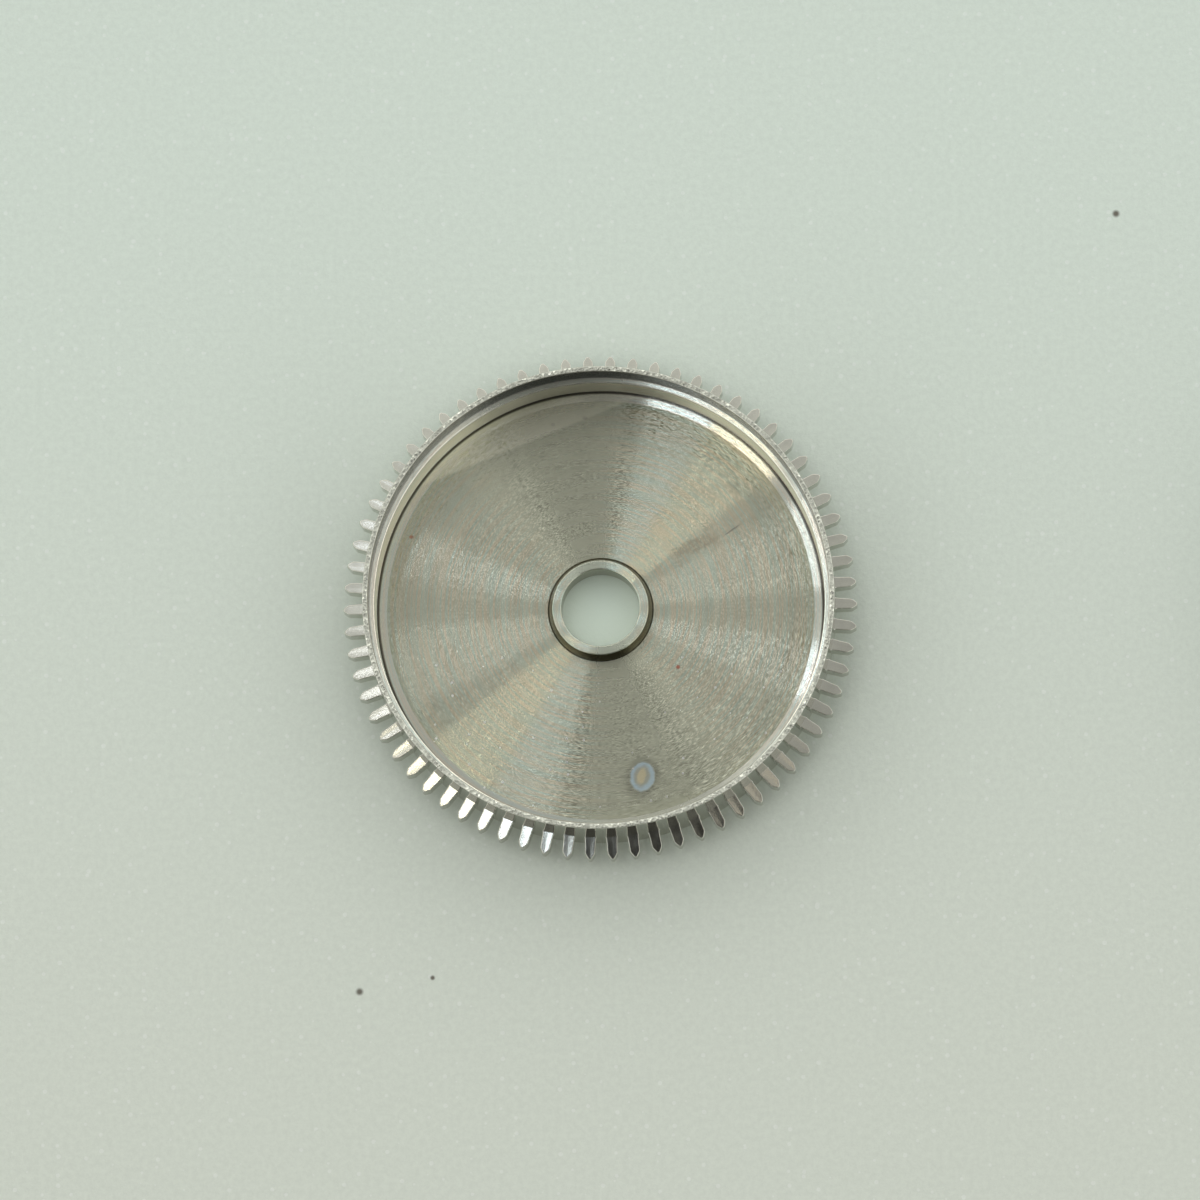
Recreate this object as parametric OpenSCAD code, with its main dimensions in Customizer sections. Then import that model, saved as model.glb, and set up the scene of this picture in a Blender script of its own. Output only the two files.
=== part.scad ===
// Mainspring barrel of a watch movement.
//
// The drum stands open side up, with its axis on Z and its underside at Z = 0. The working parts are drawn in
// their places inside the closed barrel, and beside() then turns them over and lays them on the bench next to
// the drum, cover face down. Swung back by half a turn, they drop into the drum and close it.

/* [Drum] */
// Diameter of the spring chamber
chamber_d = 10.5; // [8:0.1:16]
// Depth of the spring chamber, from the ledge to the floor
chamber_depth = 0.84; // [0.6:0.02:2]
// Thickness of the wall round the chamber
wall_t = 0.25; // [0.18:0.01:0.6]
// Width of the ledge that carries the cover
ledge_w = 0.125; // [0.05:0.005:0.16]
// Depth of the seat for the cover, from the rim to the ledge
seat_depth = 0.66; // [0.4:0.02:1.2]
// Thickness of the floor
floor_t = 0.4; // [0.25:0.05:0.8]
// Depth of the shallow relief turned into the underside
relief_depth = 0.06; // [0:0.01:0.15]
// Width of the foot that is left round the underside
foot_w = 0.7; // [0.3:0.05:1.5]
// Chamfer at the foot
foot_chamfer = 0.1; // [0.02:0.01:0.2]
// Chamfer at the outer edge of the rim
rim_chamfer = 0.02; // [0.005:0.005:0.05]

/* [Teeth] */
// Number of teeth
teeth = 70; // [50:1:90]
// Height of a tooth over the wall
tooth_h = 0.5; // [0.42:0.02:0.8]
// Width of a tooth at its root
tooth_w = 0.26; // [0.2:0.01:0.3]
// Fillet between the root and the wall
root_fillet = 0.03; // [0.01:0.005:0.04]
// Width of a tooth at its shoulders
shoulder_w = 0.235; // [0.15:0.005:0.26]
// Height of the shoulders over the wall
shoulder_h = 0.36; // [0.2:0.01:0.42]
// Width of the blunt tip
blunt_w = 0.06; // [0.02:0.01:0.12]
// Height of the toothed band
band_h = 0.46; // [0.2:0.02:0.7]
// Height of the band's upper face over the floor of the chamber, where it meets the wall
band_rise = 0.42; // [0.2:0.02:0.6]
// Fall of the band's upper face from the wall to the tips, left by polishing
band_fall = 0.1; // [0.02:0.01:0.14]
// Bevel at the tips, above and below
band_bevel = 0.03; // [0.01:0.005:0.06]

/* [Centre bush] */
// Diameter of the bore for the arbor
bore_d = 1.82; // [1.4:0.02:2.4]
// Width of the bush's upper face
bush_wall = 0.21; // [0.1:0.01:0.4]
// Width of the cone between that face and the floor
bush_cone = 0.11; // [0.05:0.01:0.2]
// Height of the bush over the floor
bush_rise = 0.25; // [0.1:0.01:0.35]

/* [Cover] */
// Clearance round the cover in its seat
cover_clear = 0.02; // [0.01:0.005:0.05]
// Thickness of the cover
cover_t = 0.3; // [0.15:0.01:0.38]
// Bevel at the edge that goes in first
cover_bevel = 0.05; // [0.02:0.01:0.1]
// Diameter of the bore in the hub's bush
hub_bore_d = 1.2; // [0.8:0.02:1.44]
// Wall of the hub's bush
hub_bush_wall = 0.3; // [0.15:0.01:0.5]
// Wall of the hub round its bush
hub_wall = 0.55; // [0.3:0.05:1.5]
// Width of the notch that lifts the cover out
notch_w = 0.7; // [0.4:0.05:1.2]
// Depth of that notch, from the cover's edge inwards
notch_depth = 0.22; // [0.1:0.01:0.4]

/* [Arbor] */
// Clearance of each journal in its bore
journal_clear = 0.02; // [0.01:0.005:0.05]
// Play along the axis at each end of the core
end_play = 0.02; // [0.01:0.005:0.04]
// Shoulder that the core sits against
core_shoulder = 0.14; // [0.08:0.01:0.16]
// Width by which the core stands out over the drum's bush
core_over_bush = 0.02; // [0.01:0.01:0.3]
// Diameter of the pivot under the drum
pivot_d = 1.4; // [0.9:0.05:1.7]
// Length of that pivot
pivot_l = 0.35; // [0.2:0.05:0.8]
// Length of the journal that shows under the drum
journal_out = 0.1; // [0.05:0.05:0.3]
// Width across the flats of the square for the ratchet wheel
square_w = 1; // [0.7:0.05:1.2]
// Bevel along the corners of the square
square_bevel = 0.05; // [0.02:0.01:0.1]
// Length of the square
square_l = 0.5; // [0.3:0.05:1]
// Diameter of the hole for the ratchet wheel's screw
screw_d = 0.5; // [0.3:0.05:0.6]
// Depth of that hole
screw_depth = 0.7; // [0.4:0.05:1.2]
// Height of the hook's tip over the core
hook_rise = 0.13; // [0.11:0.01:0.2]
// Width of the hook round the core
hook_w = 0.22; // [0.15:0.01:0.3]
// Height of the hook along the axis
hook_h = 0.24; // [0.15:0.01:0.3]

/* [Mainspring] */
// Thickness of the strip
strip_t = 0.1; // [0.07:0.01:0.12]
// Space between the packed coils
coil_gap = 0.04; // [0.02:0.01:0.06]
// Packed coils against the wall
packed_coils = 11; // [5:1:13]
// Open coils between the packed ones and the core
open_coils = 2; // [2:1:3]
// Play between the spring and the floor, and between the spring and the cover
spring_play = 0.03; // [0.02:0.01:0.06]
// Turn of the inner coil that lies against the core, in degrees
eye_turn = 240; // [200:5:270]
// Turn from the hook to the inner end of the spring, in degrees
hook_back = 30; // [20:5:60]
// Space round the hook in the strip's window
window_clear = 0.04; // [0.02:0.01:0.08]
// Thickness of the bridle
bridle_t = 0.14; // [0.1:0.01:0.2]
// Clearance between the bridle and the wall
bridle_clear = 0.02; // [0.01:0.005:0.05]
// Opening between the ends of the bridle, in degrees
bridle_opening = 30; // [15:5:90]

/* [Bench] */
// Space on the bench between the drum and the parts laid beside it
bench_gap = 9.7; // [2:0.1:20]

/* [Hidden] */
$fn = 144;

steel = [0.72, 0.72, 0.70];
bright_steel = [0.85, 0.85, 0.84];
spring_steel = [0.42, 0.47, 0.55];
bronze = [0.70, 0.52, 0.30];

// How far a cut runs past the face that it opens
past = 0.1;

// Play under the cover, so that it rests on the ledge without biting into it
seat_play = 0.01;

// Levels in the closed barrel, from the underside up
chamber_floor = floor_t;
ledge = chamber_floor + chamber_depth;
rim = ledge + seat_depth;
bush_top = chamber_floor + bush_rise;
band_top = chamber_floor + band_rise;
band_bottom = band_top - band_h;
cover_bottom = ledge + seat_play;
cover_top = cover_bottom + cover_t;

// Radii of the drum and its cover
chamber_r = chamber_d / 2;
wall_r = chamber_r + wall_t;
seat_r = chamber_r + ledge_w;
tip_r = wall_r + tooth_h;
cover_r = seat_r - cover_clear;

// Radii round the centre, from the bores outwards
bore_r = bore_d / 2;
bush_top_r = bore_r + bush_wall;
bush_r = bush_top_r + bush_cone;
hub_bore_r = hub_bore_d / 2;
hub_bush_r = hub_bore_r + hub_bush_wall;
hub_r = hub_bush_r + hub_wall;

// Arbor and core, between the drum's bush and the cover's
drum_journal_r = bore_r - journal_clear;
hub_journal_r = hub_bore_r - journal_clear;
core_seat_r = drum_journal_r - core_shoulder;
core_r = bush_r + core_over_bush;
core_bottom = bush_top + end_play;
core_top = cover_bottom - end_play;
core_h = core_top - core_bottom;
arbor_end = rim - end_play;
journal_end = -journal_out;
pivot_end = journal_end - pivot_l;
square_end = pivot_end - square_l;

// Spring and bridle, between the floor and the cover
strip_bottom = chamber_floor + spring_play;
strip_top = cover_bottom - spring_play;
strip_h = strip_top - strip_bottom;
bridle_r = chamber_r - bridle_clear - bridle_t / 2;

// Spiral of half turns, centred in turn on one side of the axis and on the other. All radii run to the
// middle of the strip. The outer half turn lies against the bridle, and the eye lies against the core.
outer_coil_r = bridle_r - bridle_t / 2 - strip_t / 2;
eye_clear = 0.01;
eye_r = core_r + eye_clear + strip_t / 2;
packed_halves = 2 * packed_coils;
open_halves = 2 * open_coils;
packed_step = (strip_t + coil_gap) / 2;
open_step = (outer_coil_r - packed_halves * packed_step - eye_r) / open_halves;

// Hook and its window, placed round the axis and along it
hook_turn = eye_turn - hook_back;
hook_z = (core_bottom + core_top) / 2;

// Place of the parts that lie beside the drum
beside_x = tip_r + bench_gap + cover_r;

// Depth to which the roots are sunk into the wall, and steps in each fillet and in each curve to the tip
sunk = 0.05;
fillet_steps = 2;
curve_steps = 3;

// Power of the curve from a shoulder to the tip. It leaves the straight flank gently and ends steep.
curve_power = 1.5;

// One flank from root to tip as [distance from the axis, half width]
flank = concat(
    [[wall_r - sunk, tooth_w / 2 + root_fillet]],
    [for (i = [0 : fillet_steps])
        let (a = 90 * i / fillet_steps)
        [wall_r + root_fillet * (1 - cos(a)), tooth_w / 2 + root_fillet * (1 - sin(a))]],
    [for (i = [0 : curve_steps])
        let (u = i / curve_steps)
        [wall_r + shoulder_h + u * (tooth_h - shoulder_h),
            blunt_w / 2 + (shoulder_w - blunt_w) / 2 * (1 - pow(u, curve_power))]]
);

// Outline of one tooth along +X, up one flank and down the other
tooth_outline = concat(
    [for (p = flank) [p[0], -p[1]]],
    [for (i = [len(flank) - 1 : -1 : 0]) flank[i]]
);

// Radius and centre of one half turn of the spiral, counted from the outside
function half_r(k) = outer_coil_r
    - min(k, packed_halves) * packed_step
    - max(k - packed_halves, 0) * open_step;
function half_x(k) = k == 0 ? 0 : half_x(k - 1) + (k % 2 == 1 ? -1 : 1) * (half_r(k - 1) - half_r(k));

// A round body from a half section of [radius, height] points
module turned(section) rotate_extrude() polygon(section);

// A length of strip bent round the axis, from start to start + turn
module bent_strip(r, thickness, start, turn)
    rotate([0, 0, start])
        rotate_extrude(angle = turn)
            translate([r - thickness / 2, strip_bottom])
                square([thickness, strip_h]);

// Turns a part over from its place in the closed barrel and lays it beside the drum
module beside() translate([beside_x, 0, rim]) rotate([0, 180, 0]) children();

// The toothed band: upright teeth, cut to a crown that falls away from the wall and is bevelled at the tips
module tooth_band() intersection() {
    translate([0, 0, band_bottom])
        linear_extrude(band_h)
            for (i = [0 : teeth - 1])
                rotate([0, 0, 360 / teeth * i])
                    polygon(tooth_outline);
    turned([
        [wall_r - 2 * sunk, band_bottom],
        [tip_r - band_bevel, band_bottom],
        [tip_r, band_bottom + band_bevel],
        [tip_r, band_top - band_fall - band_bevel],
        [tip_r - band_bevel, band_top - band_fall],
        [wall_r, band_top],
        [wall_r - 2 * sunk, band_top],
    ]);
}

// Floor, stepped wall and teeth
module drum() color(steel) union() {
    turned([
        [bush_r, relief_depth],
        [wall_r - foot_w, relief_depth],
        [wall_r - foot_w, 0],
        [wall_r - foot_chamfer, 0],
        [wall_r, foot_chamfer],
        [wall_r, rim - rim_chamfer],
        [wall_r - rim_chamfer, rim],
        [seat_r, rim],
        [seat_r, ledge],
        [chamber_r, ledge],
        [chamber_r, chamber_floor],
        [bush_r, chamber_floor],
    ]);
    tooth_band();
}

// Bush pressed into the floor, with the bore for the arbor
module drum_bush() color(bright_steel) turned([
    [bore_r, 0],
    [bush_r, 0],
    [bush_r, chamber_floor],
    [bush_top_r, bush_top],
    [bore_r, bush_top],
]);

// Cover with its hub, and the notch that lifts it out
module cover() color(steel) beside() difference() {
    turned([
        [hub_bush_r, cover_bottom],
        [cover_r - cover_bevel, cover_bottom],
        [cover_r, cover_bottom + cover_bevel],
        [cover_r, cover_top],
        [hub_r, cover_top],
        [hub_r, rim],
        [hub_bush_r, rim],
    ]);
    translate([-notch_w / 2, cover_r - notch_depth, cover_bottom - past])
        cube([notch_w, notch_depth + past, cover_t + 2 * past]);
}

// Bush pressed into the cover's hub
module cover_bush() color(bronze) beside() turned([
    [hub_bore_r, cover_bottom],
    [hub_bush_r, cover_bottom],
    [hub_bush_r, rim],
    [hub_bore_r, rim],
]);

// The square's length of bar, with that width across its flats
module upright_square(width) translate([-width / 2, -width / 2, 0]) cube([width, width, square_l]);

// Arbor: journal in the hub, seat of the core, journal in the drum, pivot, and square with its screw hole
module arbor() color(bright_steel) beside() difference() {
    union() {
        turned([
            [0, pivot_end],
            [pivot_d / 2, pivot_end],
            [pivot_d / 2, journal_end],
            [drum_journal_r, journal_end],
            [drum_journal_r, core_bottom],
            [core_seat_r, core_bottom],
            [core_seat_r, core_top],
            [hub_journal_r, core_top],
            [hub_journal_r, arbor_end],
            [0, arbor_end],
        ]);
        translate([0, 0, square_end]) intersection() {
            upright_square(square_w);
            rotate([0, 0, 45]) upright_square(sqrt(2) * (square_w - square_bevel));
        }
    }
    translate([0, 0, square_end - past])
        cylinder(h = screw_depth + past, d = screw_d);
}

// Core that the spring winds on, with its hook
module arbor_core() color(steel) beside() difference() {
    union() {
        translate([0, 0, core_bottom]) cylinder(h = core_h, r = core_r);
        rotate([0, 0, hook_turn])
            translate([core_seat_r, -hook_w / 2, hook_z - hook_h / 2])
                cube([core_r - core_seat_r + hook_rise, hook_w, hook_h]);
    }
    translate([0, 0, core_bottom - past]) cylinder(h = core_h + 2 * past, r = core_seat_r);
}

// Mainspring: one strip from the bridle to the core, with a window for the hook
module mainspring() color(spring_steel) beside() difference() {
    union() {
        for (k = [0 : packed_halves + open_halves - 1])
            translate([half_x(k), 0, 0])
                bent_strip(half_r(k), strip_t, k % 2 == 0 ? 0 : 180, 180);
        bent_strip(eye_r, strip_t, 0, eye_turn);
    }
    rotate([0, 0, hook_turn])
        translate([core_r - past, -hook_w / 2 - window_clear, hook_z - hook_h / 2 - window_clear])
            cube([2 * past + strip_t, hook_w + 2 * window_clear, hook_h + 2 * window_clear]);
}

// Bridle: an open ring that presses on the wall and carries the spring's outer end
module bridle() color(spring_steel) beside()
    bent_strip(bridle_r, bridle_t, bridle_opening / 2, 360 - bridle_opening);

drum();
drum_bush();
cover();
cover_bush();
arbor();
arbor_core();
mainspring();
bridle();
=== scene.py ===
# %% [markdown]
# # A mainspring barrel on the bench
# A barrel holds the spring that drives a watch. Its drum stands open in front of the camera: a thin turned
# wall, a satin floor, 70 slender teeth, and a low bush round the hole for the arbor. The cover lies beside
# it, just outside the picture, with the arbor and the coiled spring in their places on it.
#
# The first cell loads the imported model. Its meshes are in metres and already stand where they belong, so
# nothing that follows has to be fitted by eye.

# %% Load the frame
import math

import bmesh
import bpy
from mathutils import Matrix, Vector


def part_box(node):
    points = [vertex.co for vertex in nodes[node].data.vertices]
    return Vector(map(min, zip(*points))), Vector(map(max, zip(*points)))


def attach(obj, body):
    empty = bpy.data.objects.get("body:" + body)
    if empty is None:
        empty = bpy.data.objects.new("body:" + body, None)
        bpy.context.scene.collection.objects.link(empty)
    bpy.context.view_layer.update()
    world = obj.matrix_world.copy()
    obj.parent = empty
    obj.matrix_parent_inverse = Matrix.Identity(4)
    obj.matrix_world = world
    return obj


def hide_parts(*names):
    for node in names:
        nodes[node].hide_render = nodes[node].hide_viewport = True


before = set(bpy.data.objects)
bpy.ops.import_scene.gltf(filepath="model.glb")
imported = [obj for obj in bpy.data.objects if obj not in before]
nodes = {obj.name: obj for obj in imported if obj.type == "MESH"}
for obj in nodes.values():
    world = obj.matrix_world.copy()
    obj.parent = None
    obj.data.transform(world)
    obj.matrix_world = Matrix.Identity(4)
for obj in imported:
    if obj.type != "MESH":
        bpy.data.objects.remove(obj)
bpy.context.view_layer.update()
MM = 0.001
print("nodes:", ", ".join(sorted(nodes)))

# %% [markdown]
# ## Camera
# The drum is seen nearly from straight above, through a long lens, so that its circles stay round. The
# camera leans 12.3 degrees away from upright, towards the front and a little to the right. It is turned by
# a quarter of a degree, so that the teeth stand where they do in the photograph. The picture is 28 mm wide
# at the height of the teeth, and the drum sits almost exactly in its middle.

# %% Camera
lean, swing = math.radians(12.3), math.radians(10.5)
to_camera = Vector((math.sin(lean) * math.sin(swing), -math.sin(lean) * math.cos(swing), math.cos(lean)))
top_edge = math.radians(0.25)
across = Vector((math.sin(top_edge), math.cos(top_edge), 0)).cross(to_camera).normalized()
upwards = to_camera.cross(across)
distance, picture_width, sensor_width = 300 * MM, 28 * MM, 36
teeth_height, aim_shift = 0.82 * MM, 0.14 * MM
aim = Vector((0, 0, teeth_height)) + upwards * aim_shift

camera = bpy.data.objects.new("camera", bpy.data.cameras.new("camera"))
camera.data.sensor_width = sensor_width
camera.data.lens = sensor_width * distance / picture_width
camera.data.clip_start = 0.01
turn = Matrix((across, upwards, to_camera)).transposed().to_4x4()
camera.matrix_world = Matrix.Translation(aim + to_camera * distance) @ turn
bpy.context.scene.collection.objects.link(camera)
bpy.context.scene.camera = camera
print(f"lens {camera.data.lens:.0f} mm at {distance / MM:.0f} mm")

# %% [markdown]
# ## Small helpers for materials
# Every finish below is a network of nodes. Written out in full, each network would take a page, so a few
# small helpers keep them short. `add` makes a node and fills its inputs, with a number or with a link.
# `calc` and `vector` do one sum on numbers or on vectors, `fade` goes softly from one value to another,
# `noise` is the usual cloudy pattern, `blend_colours` lays one colour over another, and `new_material` starts
# a material with one shader.

# %% Node helpers
def add(tree, kind, inputs=(), **settings):
    node = tree.nodes.new("ShaderNode" + kind)
    for name, value in settings.items():
        setattr(node, name, value)
    for key, value in dict(inputs).items():
        if isinstance(value, bpy.types.NodeSocket):
            tree.links.new(value, node.inputs[key])
        else:
            node.inputs[key].default_value = value
    return node


def calc(tree, operation, *values):
    return add(tree, "Math", enumerate(values), operation=operation).outputs[0]


def vector(tree, operation, *values, out=0):
    return add(tree, "VectorMath", enumerate(values), operation=operation).outputs[out]


def fade(tree, value, low, high, to_low=0.0, to_high=1.0):
    inputs = {"Value": value, "From Min": low, "From Max": high, "To Min": to_low, "To Max": to_high}
    return add(tree, "MapRange", inputs, interpolation_type="SMOOTHSTEP").outputs[0]


def noise(tree, place, scale, detail=2.0, rough=0.5):
    inputs = {"Vector": place, "Scale": scale, "Detail": detail, "Roughness": rough}
    return add(tree, "TexNoise", inputs).outputs["Fac"]


def blend_colours(tree, share, first, second, kind="MIX"):
    inputs = {0: share, 6: first, 7: second}
    return add(tree, "Mix", inputs, data_type="RGBA", blend_type=kind).outputs[2]


def new_material(name):
    material = bpy.data.materials.new(name)
    material.use_nodes = True
    tree = material.node_tree
    tree.nodes.clear()
    shader = add(tree, "BsdfPrincipled")
    add(tree, "OutputMaterial", {"Surface": shader.outputs[0]})
    return material, tree, shader


# %% [markdown]
# ## Places and spots
# A pattern is easier to set in millimetres than in metres, so one helper scales Object coordinates. Another
# draws a soft round or oval spot: its Mapping node moves and squeezes the coordinates until the spot is a
# circle of radius 1. A spot has no height of its own, so it reaches far up and down. The specks on the board,
# and the drop and the small marks on the floor, are all such spots.

# %% Places and spots
ANY_HEIGHT = 1e6


def in_mm(tree):
    place = add(tree, "TexCoord").outputs["Object"]
    return add(tree, "VectorMath", {0: place, "Scale": 1 / MM}, operation="SCALE").outputs[0]


def spot(tree, place, x, y, wide, high, turn=0.0, soft=0.4, ragged=0.0):
    inputs = {"Vector": place, "Location": (x, y, 0), "Rotation": (0, 0, math.radians(turn)),
              "Scale": (wide, high, ANY_HEIGHT)}
    squeezed = add(tree, "Mapping", inputs, vector_type="TEXTURE").outputs[0]
    reach = vector(tree, "LENGTH", squeezed, out="Value")
    if ragged:
        wave = noise(tree, place, 2.5 / (wide + high))
        reach = calc(tree, "ADD", reach, fade(tree, wave, 0.2, 0.8, -ragged, ragged))
    return fade(tree, reach, 1 - soft, 1 + soft, 1.0, 0.0)


def grey(tree, value):
    return add(tree, "CombineXYZ", {0: value, 1: value, 2: value}).outputs[0]


# %% [markdown]
# ## The bench
# The drum stands on pale grey-green board with a fine frosted grain. The board is painted darker towards the
# front, as painted shade, and a little warmer there, and tiny white flecks on it are painted glints. A few
# dark specks lie on it, and under the drum's hole the board is painted lighter, a painted light for what
# shines through the hole. A flat plane is enough. It carries the drum's shadow.

# %% Bench
bm = bmesh.new()
half_width = 400 * MM
bmesh.ops.create_grid(bm, x_segments=1, y_segments=1, size=half_width)
mesh = bpy.data.meshes.new("bench")
bm.to_mesh(mesh)
bm.free()
bench = bpy.data.objects.new("bench", mesh)
bpy.context.scene.collection.objects.link(bench)

board, tree, shader = new_material("pale_board")
place = in_mm(tree)
parts = add(tree, "SeparateXYZ", {0: place}).outputs
# The board is painted darker and a little warmer towards the front; the darker part is painted shade.
painted_shade_front, far_colour = (0.655, 0.700, 0.610, 1), (0.680, 0.765, 0.675, 1)
tint = blend_colours(tree, fade(tree, parts[1], -14, 14), painted_shade_front, far_colour)
grain = noise(tree, place, 7.0, 4.0, 0.75)
tint = blend_colours(tree, 1.0, tint, grey(tree, fade(tree, grain, 0.3, 0.7, 0.955, 1.03)), "MULTIPLY")
# Tiny white flecks are painted glints of the frosted board.
flecks = add(tree, "TexVoronoi", {"Vector": place, "Scale": 3.0}, voronoi_dimensions="2D")
chance = add(tree, "SeparateXYZ", {0: flecks.outputs["Color"]}).outputs[0]
fleck_size = fade(tree, chance, 0.55, 1.0, 0.0, 0.16)
fleck = calc(tree, "LESS_THAN", flecks.outputs["Distance"], fleck_size)
white, painted_light_colour, speck_colour = (1.0, 1.0, 1.0, 1), (0.86, 1.0, 0.86, 1), (0.16, 0.15, 0.12, 1)
tint = blend_colours(tree, calc(tree, "MULTIPLY", fleck, 0.16), tint, white)
# Under the drum's hole the board is painted lighter: painted light for what shines through the hole.
painted_hole_light = calc(tree, "MULTIPLY", spot(tree, place, 0, 0, 1.1, 1.1), 0.9)
tint = blend_colours(tree, painted_hole_light, tint, painted_light_colour)
for x, y, size in ((12.15, 9.45, 0.075), (-5.67, -8.93, 0.075), (-3.97, -8.62, 0.05)):
    tint = blend_colours(tree, spot(tree, place, x, y, size, size, soft=0.6), tint, speck_colour)
tree.links.new(tint, shader.inputs["Base Color"])
shader.inputs["Roughness"].default_value = 0.8
shader.inputs["Specular IOR Level"].default_value = 0.25
tree.links.new(add(tree, "Bump", {"Height": grain, "Strength": 0.5, "Distance": 0.02 * MM}).outputs[0],
               shader.inputs["Normal"])
bench.data.materials.append(board)
print("bench ready")

# %% [markdown]
# ## Light
# Metal shows what is around it, so the surroundings matter as much as the lamps. The room is pale, brighter
# towards its walls than overhead, and a little brighter behind the bench. Two dark patches belong to
# whoever takes the picture: a small round one where the lens is, and a large soft one in front of the
# bench. Polished edges mirror them as black.

# %% Room
world = bpy.data.worlds.new("room")
world.use_nodes = True
tree = world.node_tree
tree.nodes.clear()
direction = add(tree, "TexCoord").outputs["Generated"]


def round_patch(middle, outer, inner, share=1.0):
    nearness = vector(tree, "DOT_PRODUCT", direction, tuple(Vector(middle).normalized()), out="Value")
    return fade(tree, nearness, math.cos(math.radians(outer)), math.cos(math.radians(inner)), 0.0, share)


lens = round_patch(to_camera, outer=11, inner=8)
front = round_patch((0.05, -0.80, 0.60), outer=36, inner=22, share=0.92)
height = add(tree, "SeparateXYZ", {0: direction}).outputs[2]
behind = vector(tree, "DOT_PRODUCT", direction, (-0.4, 0.92, 0), out="Value")
overhead, round_the_walls, extra_behind = 0.40, 1.20, 0.20
level = calc(tree, "ADD", fade(tree, height, 0.45, 1.0, round_the_walls, overhead),
             fade(tree, behind, -0.2, 0.9, 0.0, extra_behind))
dark = (0.012, 0.011, 0.009, 1)
dome = blend_colours(tree, calc(tree, "MAXIMUM", lens, front), grey(tree, level), dark)
background = add(tree, "Background", {"Color": dome, "Strength": 1.1})
add(tree, "OutputWorld", {"Surface": background.outputs[0]})
bpy.context.scene.world = world

# %% [markdown]
# A floor that was turned in circles answers each lamp with one bright streak along a diameter, and the
# streaks tell where the lamps are. Five narrow lamps make them. Two hang to the left and run along the
# bench, with a gap between them. Two more slant in towards the front, a warm one and then a cool one, and
# they also whiten the teeth at the lower left. A weak warm one hangs to the right. Each lamp's place is
# given as steps across and along the bench for each step up, `lie` is the direction of its long side, and
# its power follows from its glow and its area.

# %% Lamps
lamp_height = 300 * MM


def lamp(name, across, along, length, width, glow, colour, lie=90):
    light = bpy.data.lights.new(name, "AREA")
    light.shape = "RECTANGLE"
    light.size, light.size_y = length * lamp_height, width * lamp_height
    light.color = colour
    light.energy = glow * math.pi * light.size * light.size_y
    centre = Vector((across, along, 1))
    back = centre.normalized()
    lengthways = Vector((math.cos(math.radians(lie)), math.sin(math.radians(lie)), 0))
    lengthways = (lengthways - back * lengthways.dot(back)).normalized()
    turn = Matrix((lengthways, back.cross(lengthways), back)).transposed().to_4x4()
    thing = bpy.data.objects.new(name, light)
    thing.matrix_world = Matrix.Translation(centre * lamp_height) @ turn
    bpy.context.scene.collection.objects.link(thing)
    print(f"{name}: {light.energy:.3f} W")


lamp("bar_front", -0.2985, -0.075, length=0.143, width=0.045, glow=9.0, colour=(1.0, 0.92, 0.74), lie=-47)
lamp("cool_front", -0.186, -0.152, length=0.123, width=0.045, glow=8.0, colour=(0.74, 0.84, 1.0), lie=-24)
lamp("bar_middle", -0.398, 0.1155, length=0.159, width=0.05, glow=5.4, colour=(0.84, 0.86, 0.95))
lamp("bar_back", -0.398, 0.3485, length=0.103, width=0.05, glow=7.0, colour=(0.75, 0.80, 0.95))
lamp("warm_right", 0.238, -0.105, length=0.11, width=0.05, glow=0.6, colour=(1.0, 0.80, 0.55))

# %% [markdown]
# ## The drum
# The drum is one piece, turned from bar, with its teeth cut afterwards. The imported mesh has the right
# shape, but its edges are knife sharp, and real edges are broken and catch the light. So the drum is made
# again to the same sizes: a section is drawn once, spun round the axis, and its edges are bevelled. Smooth
# shading would bend a large face towards the narrow bevel beside it, and a flat floor would shine like a
# bowl. So the line between a large face and a bevel is marked sharp, and only the bevels and the round
# walls stay smooth. The section has one corner more than the shape needs, at `hollow_r` on the floor, because
# the floor's outermost ring gets a finish of its own.

# %% Turning helpers
ON_THE_RING, SAME_POINT = 1e-3, 1e-8
SHARP_TURN, FLAT_TURN, MUCH_LARGER = math.radians(35), math.radians(2), 6


def ring_edges(bm, radius, height):
    def on_it(vertex):
        off_radius, off_height = vertex.co.xy.length / MM - radius, vertex.co.z / MM - height
        return abs(off_radius) < ON_THE_RING and abs(off_height) < ON_THE_RING
    return [e for e in bm.edges if on_it(e.verts[0]) and on_it(e.verts[1])]


def spin_section(bm, section, steps):
    corners = [bm.verts.new((r * MM, 0, z * MM)) for r, z in section]
    edges = [bm.edges.new((a, b)) for a, b in zip(corners, corners[1:] + corners[:1])]
    bmesh.ops.spin(bm, geom=corners + edges, cent=(0, 0, 0), axis=(0, 0, 1), angle=2 * math.pi, steps=steps,
                   use_merge=True)
    bmesh.ops.remove_doubles(bm, verts=bm.verts, dist=SAME_POINT)
    bmesh.ops.recalc_face_normals(bm, faces=bm.faces)


def round_ring(bm, radius, height, width):
    bmesh.ops.bevel(bm, geom=ring_edges(bm, radius, height), offset=width * MM, segments=3, profile=0.5,
                    affect="EDGES", material=-1)


def finish_mesh(bm, name):
    for edge in bm.edges:
        if len(edge.link_faces) == 2:
            turn = edge.calc_face_angle()
            small, large = sorted(face.calc_area() for face in edge.link_faces)
            beside_a_bevel = turn > FLAT_TURN and large > MUCH_LARGER * small
            edge.smooth = turn < SHARP_TURN and not beside_a_bevel
    for face in bm.faces:
        face.smooth = True
    mesh = bpy.data.meshes.new(name)
    bm.to_mesh(mesh)
    bm.free()
    thing = bpy.data.objects.new(name, mesh)
    bpy.context.scene.collection.objects.link(thing)
    print(f"{name}: {len(mesh.polygons)} faces")
    return thing


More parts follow.
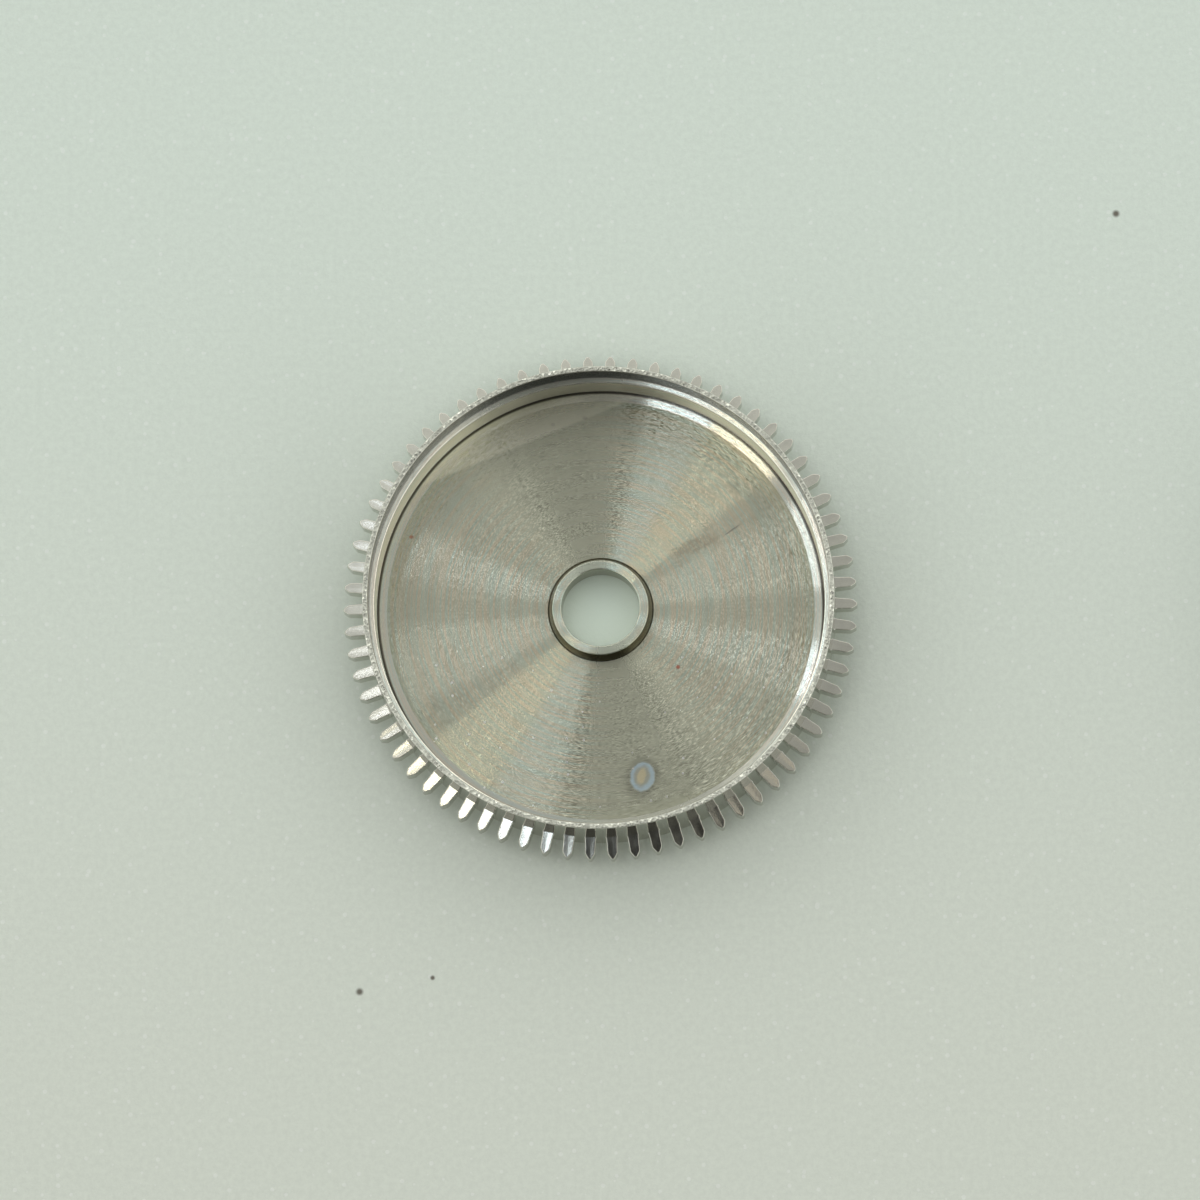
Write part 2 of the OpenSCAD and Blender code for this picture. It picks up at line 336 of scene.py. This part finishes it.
# %% Turn the drum
bush_r, chamber_r, seat_r, wall_r, tip_r = 1.23, 5.25, 5.375, 5.5, 6.0
floor_top, ledge, rim = 0.4, 1.24, 1.9
relief_r, relief, hollow_r = 4.8, 0.06, 5.0
drum_section = ((bush_r, relief), (relief_r, relief), (relief_r, 0), (wall_r, 0), (wall_r, rim),
                (seat_r, rim), (seat_r, ledge), (chamber_r, ledge), (chamber_r, floor_top),
                (hollow_r, floor_top), (bush_r, floor_top))
drum_bevels = ((wall_r, 0, 0.1), (wall_r, rim, 0.022), (seat_r, rim, 0.03), (seat_r, ledge, 0.012),
               (chamber_r, ledge, 0.025), (chamber_r, floor_top, 0.02), (relief_r, 0, 0.03),
               (bush_r, floor_top, 0.012))
bm = bmesh.new()
spin_section(bm, drum_section, steps=280)
for radius, height, width in drum_bevels:
    round_ring(bm, radius, height, width)
drum_size = max(v.co.xy.length for v in bm.verts) / MM
print(f"turned blank: radius {drum_size:.2f} mm")

# %% [markdown]
# ## The teeth
# Each tooth is slender, with nearly straight flanks up to its shoulders and a blunt arch above them, and
# small fillets join it to the wall. One tooth is drawn as a flat outline and raised to its height. Its
# upper face falls away towards the tip, its edges are rounded, and its middle line is lifted by two
# thousandths of a millimetre, so that the two halves mirror slightly different places. The 70 teeth are
# then spun round the axis, with their roots sunk a little into the wall.

# %% Draw one tooth
band_top, band_bottom, fall = 0.82, 0.36, 0.10
tooth_w, fillet, shoulder_w, shoulder_h, blunt_w, tooth_h = 0.26, 0.03, 0.235, 0.36, 0.06, 0.5
sunk, arch, teeth = 0.05, 1.25, 70
waist_h, half_waist, half_tip = 0.2, 0.122, 0.02
flank = [(wall_r - sunk, tooth_w / 2 + fillet)]
for angle in (0, 30, 60, 90):
    a = math.radians(angle)
    flank.append((wall_r + fillet * (1 - math.cos(a)), tooth_w / 2 + fillet * (1 - math.sin(a))))
flank.append((wall_r + waist_h, half_waist))
for u in (0, 0.17, 0.34, 0.5, 0.67, 0.84, 0.95):
    flank.append((wall_r + shoulder_h + u * (tooth_h - shoulder_h),
                  blunt_w / 2 + (shoulder_w - blunt_w) / 2 * (1 - u ** arch)))
flank.append((tip_r, half_tip))

tooth = bmesh.new()
outline = [(r, -h) for r, h in flank] + [(r, h) for r, h in reversed(flank)]
corners = [tooth.verts.new((r * MM, h * MM, band_bottom * MM)) for r, h in outline]
lower = tooth.faces.new(corners)
raised = bmesh.ops.extrude_face_region(tooth, geom=[lower])["geom"]
for vertex in (v for v in raised if isinstance(v, bmesh.types.BMVert)):
    out = (vertex.co.xy.length / MM - wall_r) / tooth_h
    vertex.co.z = (band_top - fall * max(out, 0)) * MM
bmesh.ops.recalc_face_normals(tooth, faces=tooth.faces)
print(f"tooth: {len(outline)} corners round its outline")


# %% Round its edges and raise its middle
def top_faces(bm, least_area):
    return [f for f in bm.faces if f.normal.z > 0.9 and f.calc_area() > least_area * MM * MM]


broken, margin, lift = 0.022 * MM, 0.012 * MM, 0.002 * MM
edges = [e for e in tooth.edges if abs(e.verts[0].co.z - e.verts[1].co.z) < 0.05 * MM
         and min(v.co.x for v in e.verts) > (wall_r - sunk) * MM]
bmesh.ops.bevel(tooth, geom=edges, offset=broken, segments=3, profile=0.5, affect="EDGES", material=-1,
                clamp_overlap=True)
bmesh.ops.inset_region(tooth, faces=top_faces(tooth, least_area=0.05), thickness=margin, depth=0)
crown = top_faces(tooth, least_area=0.04)
middle = crown[0].verts[:] + crown[0].edges[:] + crown
bmesh.ops.bisect_plane(tooth, geom=middle, dist=1e-9, plane_co=(0, 0, 0), plane_no=(0, 1, 0))
for vertex in tooth.verts:
    if abs(vertex.co.y) < SAME_POINT and vertex.normal.z > 0.9 and vertex.co.x > wall_r * MM:
        vertex.co.z += lift
print(f"one tooth: {len(tooth.faces)} faces")

# %% Spin the teeth round the drum
bmesh.ops.spin(tooth, geom=tooth.verts[:] + tooth.edges[:] + tooth.faces[:], cent=(0, 0, 0), axis=(0, 0, 1),
               angle=2 * math.pi, steps=teeth, use_duplicate=True, use_merge=False)
bmesh.ops.remove_doubles(tooth, verts=tooth.verts, dist=SAME_POINT)
print(f"{teeth} teeth: {len(tooth.faces)} faces")
cut = bpy.data.meshes.new("cut")
tooth.to_mesh(cut)
tooth.free()
bm.from_mesh(cut)
bpy.data.meshes.remove(cut)

# %% [markdown]
# The drum has eight finishes, so each face is given the number of its own. A face is told by where its
# middle lies and by how far it faces up: the floor and its outermost ring, the chamber's wall, the ledge,
# the wall of the seat, the narrow face of the rim, the teeth's upper faces, and the polish on everything
# else.

# %% Sort the faces by finish
SATIN, WALL, POLISH, FROST, CROWN, LEDGE, SEAT, HOLLOW = range(8)
for face in bm.faces:
    centre = face.calc_center_median() / MM
    reach, up = centre.xy.length, abs(face.normal.z)
    if up > 0.95 and relief < centre.z < floor_top + 0.05 and hollow_r < reach < chamber_r - 0.01:
        face.material_index = HOLLOW
    elif up > 0.95 and centre.z < floor_top + 0.05 and reach < chamber_r - 0.02:
        face.material_index = SATIN
    elif 0.12 < face.normal.z < 0.95 and centre.z > floor_top + 0.1 and reach < wall_r - 0.05:
        face.material_index = POLISH
    elif ledge < centre.z and reach < seat_r + 0.02 and up < 0.98:
        face.material_index = SEAT
    elif floor_top < centre.z < ledge + 0.02 and reach < seat_r:
        face.material_index = LEDGE if up > 0.9 else WALL
    elif face.normal.z > 0.8 and centre.z > rim - 0.05:
        face.material_index = FROST
    elif face.normal.z > 0.3 and reach > wall_r + 0.02:
        face.material_index = CROWN
    else:
        face.material_index = POLISH
drum = finish_mesh(bm, "drum_body")
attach(drum, "drum")
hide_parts("drum")

# %% [markdown]
# ## Turned steel
# A cutting tool leaves fine rings round the axis. Each ring leans a little to one side or the other, so the
# rings send light mainly across themselves, and that makes the streaks. The shader's anisotropy does a part
# of this, and the leaning normal does the rest: it is tipped across the rings by a noise that is squeezed
# along the radius and stretched round the axis. On an upright wall the rings follow each other in height,
# so the noise reads the distance from the axis and the height together.

# %% Rings round an axis
def turned_place(tree, centre):
    place = vector(tree, "SUBTRACT", in_mm(tree), (centre[0], centre[1], 0))
    parts = add(tree, "SeparateXYZ", {0: place}).outputs
    flat = add(tree, "CombineXYZ", {0: parts[0], 1: parts[1]}).outputs[0]
    outwards = vector(tree, "NORMALIZE", flat)
    section = calc(tree, "ADD", vector(tree, "LENGTH", flat, out="Value"), parts[2])
    return place, parts, section, outwards


def ring_noise(tree, section, outwards, per_mm, round_it, detail=2.0):
    along = add(tree, "SeparateXYZ", {0: outwards}).outputs
    squeezed = add(tree, "CombineXYZ", {0: calc(tree, "MULTIPLY", section, per_mm),
                                        1: calc(tree, "MULTIPLY", along[0], round_it),
                                        2: calc(tree, "MULTIPLY", along[1], round_it)}).outputs[0]
    return noise(tree, squeezed, 1.0, detail)


def leaning_normal(tree, lengthways, lean):
    straight = add(tree, "NewGeometry").outputs["Normal"]
    across = vector(tree, "CROSS_PRODUCT", lengthways, straight)
    tipped = add(tree, "VectorMath", {0: across, "Scale": lean}, operation="SCALE").outputs[0]
    return vector(tree, "NORMALIZE", vector(tree, "ADD", straight, tipped))


# %% [markdown]
# Some of it changes with the direction round the axis. The bright streaks run to the left and the right of
# the middle, and there the rings are painted with a faint tint, one reddish and the next bluish, a painted
# sheen for the colours that fine grooves split from the light. In the narrow dark wedges above and below the
# middle the rings lean half as much and the steel is rougher, so the dark looks even and not grainy. Where a
# face should rise towards the wall, as in a corner that the cutter left slightly round, `tilt` leans the
# shading, on one side only if `tilt_side` says which.

# %% Turned finish
LIT_SIDE, DARK_SIDE = (0.94, 0.34, 0), (-0.174, 0.985, 0)
REDDISH, BLUISH, PLAIN = (1.06, 0.98, 0.955, 1), (0.945, 1.01, 1.05, 1), (1, 1, 1, 1)
TINT_SHIFT, COARSE_SHIFT, COARSE_SHARE, NOISE_MIDDLE = 3.7, 1.9, 0.10, 0.55
EXTRA_ROUGH, LESS_LEAN = 0.11, 0.5
BROAD_RELIEF = 0.0006 * MM


def turned_steel(name, colour, roughness, lean=1.5, centre=(0, 0), marks=None, tilt=0.0, tilt_side=None):
    material, tree, shader = new_material(name)
    place, parts, section, outwards = turned_place(tree, centre)
    fine = ring_noise(tree, section, outwards, per_mm=150, round_it=40.0, detail=0.0)
    broad = ring_noise(tree, section, outwards, per_mm=4, round_it=1.0)
    lines = ring_noise(tree, calc(tree, "ADD", section, TINT_SHIFT), outwards, per_mm=26, round_it=2.5,
                       detail=1.0)
    worn = noise(tree, place, 0.8, 3.0)
    # The reddish and bluish tint is a painted sheen, laid on the sides where the streaks run.
    tint = blend_colours(tree, fade(tree, lines, 0.35, 0.65), REDDISH, BLUISH)
    sideways = calc(tree, "ABSOLUTE", vector(tree, "DOT_PRODUCT", outwards, LIT_SIDE, out="Value"))
    tint = blend_colours(tree, fade(tree, sideways, 0.2, 0.55), PLAIN, tint)
    tone = calc(tree, "MULTIPLY", fade(tree, broad, 0.3, 0.7, 0.97, 1.02),
                fade(tree, worn, 0.3, 0.7, 0.97, 1.02))
    base = blend_colours(tree, 1.0, (*colour, 1), tint, "MULTIPLY")
    base = blend_colours(tree, 1.0, base, grey(tree, tone), "MULTIPLY")
    ahead = calc(tree, "ABSOLUTE", vector(tree, "DOT_PRODUCT", outwards, DARK_SIDE, out="Value"))
    even = fade(tree, ahead, math.cos(math.radians(20)), math.cos(math.radians(12)))
    rough = calc(tree, "ADD", roughness, fade(tree, broad, 0.3, 0.7, -0.01, 0.01))
    rough = calc(tree, "ADD", rough, calc(tree, "MULTIPLY", even, EXTRA_ROUGH))
    lean = calc(tree, "MULTIPLY", lean, calc(tree, "SUBTRACT", 1.0, calc(tree, "MULTIPLY", even, LESS_LEAN)))
    if marks:
        base, rough = marks(tree, place, parts, section, base, rough)
    tree.links.new(base, shader.inputs["Base Color"])
    tree.links.new(rough, shader.inputs["Roughness"])
    shader.inputs["Metallic"].default_value = 1
    shader.inputs["Anisotropic"].default_value = 1
    shader.inputs["Anisotropic Rotation"].default_value = 0.25
    lengthways = vector(tree, "CROSS_PRODUCT", (0, 0, 1), outwards)
    turned = add(tree, "VectorTransform", {0: lengthways}, vector_type="VECTOR", convert_from="OBJECT",
                 convert_to="WORLD").outputs[0]
    tree.links.new(turned, shader.inputs["Tangent"])
    coarse = ring_noise(tree, calc(tree, "ADD", section, COARSE_SHIFT), outwards, per_mm=30, round_it=2.5,
                        detail=0.0)
    both = calc(tree, "ADD", fine, calc(tree, "MULTIPLY", coarse, COARSE_SHARE))
    if tilt_side:
        on_that_side = vector(tree, "DOT_PRODUCT", outwards, tilt_side, out="Value")
        tilt = fade(tree, on_that_side, 0.08, 0.40, 0.0, tilt)
    steep = calc(tree, "ADD", calc(tree, "MULTIPLY", calc(tree, "SUBTRACT", both, NOISE_MIDDLE), lean), tilt)
    bump = add(tree, "Bump", {"Height": broad, "Strength": 1.0, "Distance": BROAD_RELIEF,
                              "Normal": leaning_normal(tree, turned, steep)})
    tree.links.new(bump.outputs[0], shader.inputs["Normal"])
    return material


# %% [markdown]
# The floor has been used. There is a dried oval drop on it with a pale bluish edge and a tan middle, a
# brownish smudge, a short scratch, two reddish and two dark specks, and a little pale dust on its lower
# half. Each is a spot that is blended over the steel's colour, and dried or dusty places are also rougher.
# The floor is painted paler at its far edge, a painted light that the wall throws there, and a dark line is
# painted into the corner under the wall, a painted shade.

# %% Marks of use, painted light and painted shade
DROP = (0.95, -3.99)
HALO, EDGE = (0.22, 0.22, 0.17, 1), (0.76, 0.92, 0.98, 1)
DRIED, TAN = (0.64, 0.64, 0.52, 1), (0.92, 0.84, 0.58, 1)
DUST, PAINTED_LIGHT, PAINTED_SHADE = (0.88, 0.88, 0.82, 1), (0.92, 0.90, 0.72, 1), (0.07, 0.065, 0.05, 1)
# x, y, half width, half height, turn, share, colour
SMALL_MARKS = (
    (2.22, 1.52, 0.50, 0.16, 20, 0.30, (0.36, 0.27, 0.17, 1)),
    (3.07, 1.86, 0.22, 0.020, 35, 0.55, (0.30, 0.28, 0.24, 1)),
    (1.80, -1.39, 0.045, 0.045, 0, 0.80, (0.42, 0.12, 0.08, 1)),
    (-4.43, 1.80, 0.05, 0.04, 0, 0.70, (0.44, 0.16, 0.08, 1)),
    (-0.35, 4.60, 0.06, 0.04, 0, 0.55, (0.20, 0.20, 0.16, 1)),
    (-1.10, 4.45, 0.05, 0.04, 0, 0.55, (0.20, 0.20, 0.16, 1)))


def marks_and_painted_light(tree, place, parts, section, base, rough):
    x, y = DROP
    whole = spot(tree, place, x, y, 0.28, 0.345, turn=-12, soft=0.10, ragged=0.08)
    inside = spot(tree, place, x, y + 0.01, 0.18, 0.245, turn=-12, soft=0.22, ragged=0.10)
    core = spot(tree, place, x - 0.02, y, 0.10, 0.18, turn=-14, soft=0.30, ragged=0.15)
    halo = spot(tree, place, x, y, 0.40, 0.47, turn=-12, soft=0.25, ragged=0.08)
    layers = ((halo, 0.45, HALO), (whole, 0.85, EDGE), (inside, 0.9, DRIED), (core, 0.9, TAN))
    for layer, share, colour in layers:
        base = blend_colours(tree, calc(tree, "MULTIPLY", layer, share), base, colour)
    for x, y, wide, high, turn, share, colour in SMALL_MARKS:
        mark = spot(tree, place, x, y, wide, high, turn)
        base = blend_colours(tree, calc(tree, "MULTIPLY", mark, share), base, colour)
    cells = add(tree, "TexVoronoi", {"Vector": place, "Scale": 2.6}, voronoi_dimensions="2D")
    chosen = add(tree, "SeparateXYZ", {0: cells.outputs["Color"]}).outputs
    size = fade(tree, chosen[0], 0.70, 1.0, 0.0, 0.075)
    dust = calc(tree, "LESS_THAN", cells.outputs["Distance"], size)
    dust = calc(tree, "MULTIPLY", dust, fade(tree, parts[1], 0.5, -2.5, 0.0, 0.85))
    base = blend_colours(tree, dust, base, DUST)
    # The floor's far edge is painted paler: painted light that the wall throws there.
    far = vector(tree, "DOT_PRODUCT", place, (-0.374, 0.927, 0), out="Value")
    base = blend_colours(tree, fade(tree, far, 4.32, 4.42, 0.0, 0.4), base, PAINTED_LIGHT)
    # The corner under the wall is painted dark: painted shade.
    corner = floor_top + chamber_r
    base = blend_colours(tree, fade(tree, section, corner - 0.10, corner - 0.05, 0.0, 0.95), base, PAINTED_SHADE)
    rough = calc(tree, "ADD", rough, calc(tree, "MULTIPLY", calc(tree, "MAXIMUM", dust, whole), 0.25))
    return base, rough


# %% [markdown]
# The floor, the chamber's wall, the ledge and the seat's wall are all turned, but each with its own cut, so
# each has its own colour, roughness and lean. The seat's wall is coloured nearly black, a painted shade for
# the dark front that it mirrors. The shading of the ledge leans inwards by about 11 degrees, and so does that
# of the floor's outermost ring on its right side. There both mirror the lamps as bright arcs.

# %% The drum's turned faces
INWARDS = -0.19
satin = turned_steel("drum_satin", (0.505, 0.515, 0.395), 0.165, 1.4, marks=marks_and_painted_light)
wall_satin = turned_steel("wall_satin", (0.74, 0.73, 0.58), 0.32, 1.5)
hollow_satin = turned_steel("hollow_satin", (0.66, 0.67, 0.56), 0.13, 0.30, marks=marks_and_painted_light, tilt=INWARDS,
                            tilt_side=LIT_SIDE)
ledge_satin = turned_steel("ledge_satin", (0.90, 0.92, 0.78), 0.20, 0.5, tilt=INWARDS)
# The seat's wall is coloured nearly black: painted shade for the dark that it mirrors.
seat_painted_dark = turned_steel("seat_painted_dark", (0.15, 0.16, 0.155), 0.15, 1.0)
print("turned steel ready")

# %% [markdown]
# ## Polished and frosted steel
# The outer wall and the teeth are polished, and they mirror each other: between the teeth the wall shows a
# dark image of each tooth. A polish is never even, so a coarse noise clouds it and a fine one ripples it.
# The narrow upper face of the rim is frosted, and a scatter of tiny facets tips its shading; a few facets are
# also painted brighter, as painted glints.

# %% Polished steel
def polished_steel(name, colour, roughness, ripple=0.0004, cloud=0.02, facets=0.0):
    material, tree, shader = new_material(name)
    place = in_mm(tree)
    hazy = noise(tree, place, 2.5, 3.0)
    fine = noise(tree, place, 18.0, 3.0, 0.6)
    tone = fade(tree, hazy, 0.3, 0.7, 0.94, 1.02)
    uneven = fine
    if facets:
        cells = add(tree, "TexVoronoi", {"Vector": place, "Scale": 18.0})
        chance = add(tree, "SeparateXYZ", {0: cells.outputs["Color"]}).outputs
        varied = fade(tree, chance[0], 0.0, 1.0, 1 - 0.1 * facets, 1 + 0.08 * facets)
        # A few facets are painted brighter: painted glints.
        painted_glint = fade(tree, chance[1], 0.86, 0.90, 1.0, 1 + 0.3 * facets)
        tone = calc(tree, "MULTIPLY", calc(tree, "MULTIPLY", tone, varied), painted_glint)
        uneven = calc(tree, "ADD", fine, calc(tree, "MULTIPLY", cells.outputs["Distance"], facets))
    base = blend_colours(tree, 1.0, (*colour, 1), grey(tree, tone), "MULTIPLY")
    tree.links.new(base, shader.inputs["Base Color"])
    tree.links.new(fade(tree, hazy, 0.3, 0.7, roughness, roughness + cloud), shader.inputs["Roughness"])
    shader.inputs["Metallic"].default_value = 1
    bump = add(tree, "Bump", {"Height": uneven, "Strength": 1.0, "Distance": ripple * MM})
    tree.links.new(bump.outputs[0], shader.inputs["Normal"])
    return material


polish = polished_steel("drum_polish", (0.58, 0.575, 0.51), 0.10)
frost = polished_steel("rim_frost", (0.54, 0.55, 0.465), 0.26, ripple=0.010, cloud=0.1, facets=2.0)
tooth_polish = polished_steel("tooth_crown", (0.57, 0.57, 0.485), 0.14, ripple=0.0008, cloud=0.04)
for material in (satin, wall_satin, polish, frost, tooth_polish, ledge_satin, seat_painted_dark, hollow_satin):
    drum.data.materials.append(material)
print("drum finishes:", ", ".join(m.name for m in drum.data.materials))

# %% [markdown]
# ## The centre bush
# The bush is turned too. Its upper face is bright, its edges are broken, and its bore is polished by wear,
# but its tapered side is dark brown. It is made like the drum, from a section that is spun.

# %% Centre bush
bore_r, bush_top_r, bush_top = 0.91, 1.12, 0.65
bush_section = ((bore_r, 0), (bush_r, 0), (bush_r, floor_top), (bush_top_r, bush_top), (bore_r, bush_top))
bush_bevels = ((bore_r, bush_top, 0.03), (bush_top_r, bush_top, 0.016), (bore_r, 0, 0.04), (bush_r, 0, 0.02))
bm = bmesh.new()
spin_section(bm, bush_section, steps=160)
for radius, height, width in bush_bevels:
    round_ring(bm, radius, height, width)
FACE, SIDE, BORE = range(3)
for face in bm.faces:
    centre = face.calc_center_median() / MM
    if face.normal.z >= 0.5 or centre.z >= bush_top - 0.012:
        face.material_index = FACE
    else:
        face.material_index = SIDE if centre.xy.length > bore_r + 0.05 else BORE
bush = finish_mesh(bm, "bush_body")
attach(bush, "drum")
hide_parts("drum_bush")
bush.data.materials.append(turned_steel("bush_face", (0.58, 0.62, 0.50), 0.165, 1.1))
bush.data.materials.append(polished_steel("bush_side", (0.16, 0.145, 0.095), 0.10))
bush.data.materials.append(polished_steel("bush_bore", (0.40, 0.385, 0.31), 0.12))

# %% [markdown]
# ## The parts beside the drum
# The cover, its bush, the arbor, the core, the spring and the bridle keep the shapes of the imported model,
# but each gets broken edges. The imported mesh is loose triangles, so a copy is merged first, its flat faces
# are joined up again, and then its sharp edges are bevelled.

# %% Broken edges
bodies = {"cover": "cover", "cover_bush": "cover", "mainspring": "spring", "bridle": "spring",
          "arbor": "arbor", "arbor_core": "arbor"}


def break_edges(name, width, material):
    bm = bmesh.new()
    bm.from_mesh(nodes[name].data)
    bmesh.ops.remove_doubles(bm, verts=bm.verts, dist=1e-7)
    bmesh.ops.dissolve_limit(bm, angle_limit=math.radians(0.5), verts=bm.verts, edges=bm.edges, delimit=set())
    sharp = [e for e in bm.edges if e.is_manifold and e.calc_face_angle() > SHARP_TURN]
    bmesh.ops.bevel(bm, geom=sharp, offset=width * MM, segments=2, profile=0.5, affect="EDGES", material=-1,
                    clamp_overlap=True)
    for face in bm.faces:
        face.material_index = 0
    open_edges = sum(1 for e in bm.edges if not e.is_manifold)
    piece = finish_mesh(bm, name + "_body")
    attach(piece, bodies[name])
    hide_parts(name)
    piece.data.materials.append(material)
    print(f"{name}: {len(sharp)} sharp edges broken, {open_edges} open edges")


low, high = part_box("arbor")
axis = ((low[0] + high[0]) / 2 / MM, (low[1] + high[1]) / 2 / MM)
print(f"the parts lie round x = {axis[0]:.3f} mm")
break_edges("cover", 0.02, turned_steel("cover_satin", (0.56, 0.565, 0.47), 0.18, centre=axis))
break_edges("cover_bush", 0.02, turned_steel("hub_bronze", (0.70, 0.47, 0.24), 0.18, 1.0, centre=axis))
break_edges("arbor", 0.015, turned_steel("arbor_polish", (0.64, 0.64, 0.60), 0.14, 0.4, centre=axis))
break_edges("arbor_core", 0.015, polished_steel("core_polish", (0.58, 0.58, 0.54), 0.16))
break_edges("mainspring", 0.018, turned_steel("spring_blue", (0.33, 0.37, 0.44), 0.17, 0.6, centre=axis))
break_edges("bridle", 0.018, polished_steel("bridle_blue", (0.35, 0.39, 0.46), 0.18))

# %% [markdown]
# ## View transform
# The scene's view transform is set to Standard.

# %% View transform
scene = bpy.context.scene
scene.view_settings.view_transform = "Standard"
